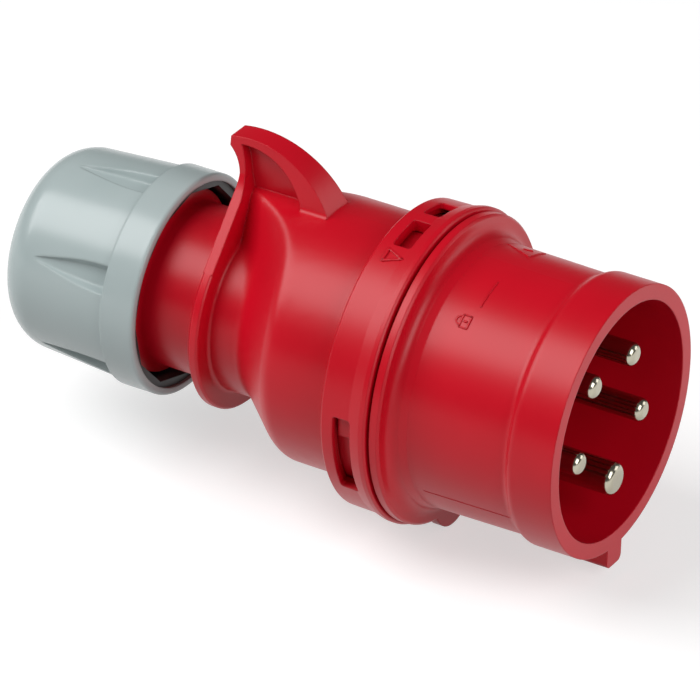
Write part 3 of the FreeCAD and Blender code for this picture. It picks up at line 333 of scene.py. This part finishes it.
ring_triangle()
shroud_chevron()
shroud_line()
shroud_padlock()
parting_line()


def studio_paint():
    """Matt white paint of the floor. Camera and mirror-like rays see it a little brighter."""
    material, tree = new_material("white_studio_floor")
    path = node(tree, "ShaderNodeLightPath")
    seen = node(tree, "ShaderNodeMath", links={
        0: path.outputs["Is Camera Ray"], 1: path.outputs["Is Glossy Ray"],
    }, operation="MAXIMUM")
    lift = node(tree, "ShaderNodeMath", {1: FLOOR_LIFT}, {0: seen.outputs["Value"]}, operation="MULTIPLY")
    shader = node(tree, "ShaderNodeBsdfPrincipled", {
        "Base Color": colour("#bfbfbf"), "Roughness": 0.9, "Emission Color": (1, 1, 1, 1),
    }, {"Emission Strength": lift.outputs["Value"]})
    node(tree, "ShaderNodeOutputMaterial", links={"Surface": shader.outputs["BSDF"]})
    return material


def lay_floor(level):
    """Pale studio floor under the plug."""
    mesh = bmesh.new()
    bmesh.ops.create_grid(mesh, x_segments=1, y_segments=1, size=FLOOR_HALF)
    bmesh.ops.translate(mesh, verts=mesh.verts, vec=(0, 0, level))
    floor = place_mesh("studio_floor", mesh, studio_paint())


def softbox(name, direction, distance, length, width, power):
    """Rectangular area lamp that faces the middle of the plug, its length along the plug. Metres and watts."""
    lamp = bpy.data.lights.new(name, "AREA")
    lamp.shape = "RECTANGLE"
    lamp.size = length
    lamp.size_y = width
    lamp.energy = power
    holder = bpy.data.objects.new(name, lamp)
    aim = Vector(direction).normalized()
    holder.location = PLUG_MIDDLE + aim * distance
    along = (Vector((1, 0, 0)) - aim * aim.x).normalized()
    holder.rotation_euler = Matrix((along, aim.cross(along), aim)).transposed().to_euler()
    bpy.context.scene.collection.objects.link(holder)


def set_world(tone, strength):
    """Even light of the studio's walls and ceiling."""
    world = bpy.data.worlds.new("studio")
    bpy.context.scene.world = world
    world.use_nodes = True
    background = world.node_tree.nodes["Background"]
    background.inputs["Color"].default_value = colour(tone)
    background.inputs["Strength"].default_value = strength


def place_camera():
    """Long lens, as fitted to the photograph's edges."""
    azimuth, elevation, roll = (math.radians(angle) for angle in (AZIMUTH, ELEVATION, ROLL))
    away = Vector((
        math.cos(elevation) * math.cos(azimuth), math.cos(elevation) * math.sin(azimuth), math.sin(elevation)))
    right = (-away).cross(Vector((0, 0, 1))).normalized()
    down = (-away).cross(right)
    across = math.cos(roll) * right + math.sin(roll) * down
    drop = -math.sin(roll) * right + math.cos(roll) * down
    origin_seen = Vector(ORIGIN_SEEN_MM) * MM
    place = -(across * origin_seen.x + drop * origin_seen.y - away * origin_seen.z)
    lens = bpy.data.cameras.new("photograph")
    lens.sensor_width = SENSOR_MM
    lens.lens = FOCAL_PIXELS * SENSOR_MM / PHOTO_PIXELS
    lens.clip_start = 0.1
    lens.clip_end = 20.0
    camera = bpy.data.objects.new("photograph", lens)
    turned = Matrix((across, -drop, away)).transposed()
    camera.matrix_world = Matrix.Translation(place) @ turned.to_4x4()
    bpy.context.scene.collection.objects.link(camera)
    bpy.context.scene.camera = camera


lay_floor(cad_low.z)
set_world("#ffffff", strength=0.1)
softbox("key_softbox", (-0.56, -0.38, 0.735), distance=1.1, length=1.15, width=0.7, power=13.0)
softbox("end_softbox", (0.82, -0.3, 0.48), distance=1.4, length=0.9, width=0.9, power=9.5)
softbox("back_softbox", (0.7, 0.7, 0.3), distance=1.6, length=0.8, width=0.8, power=4.0)
place_camera()

scene = bpy.context.scene
scene.view_settings.view_transform = "Standard"
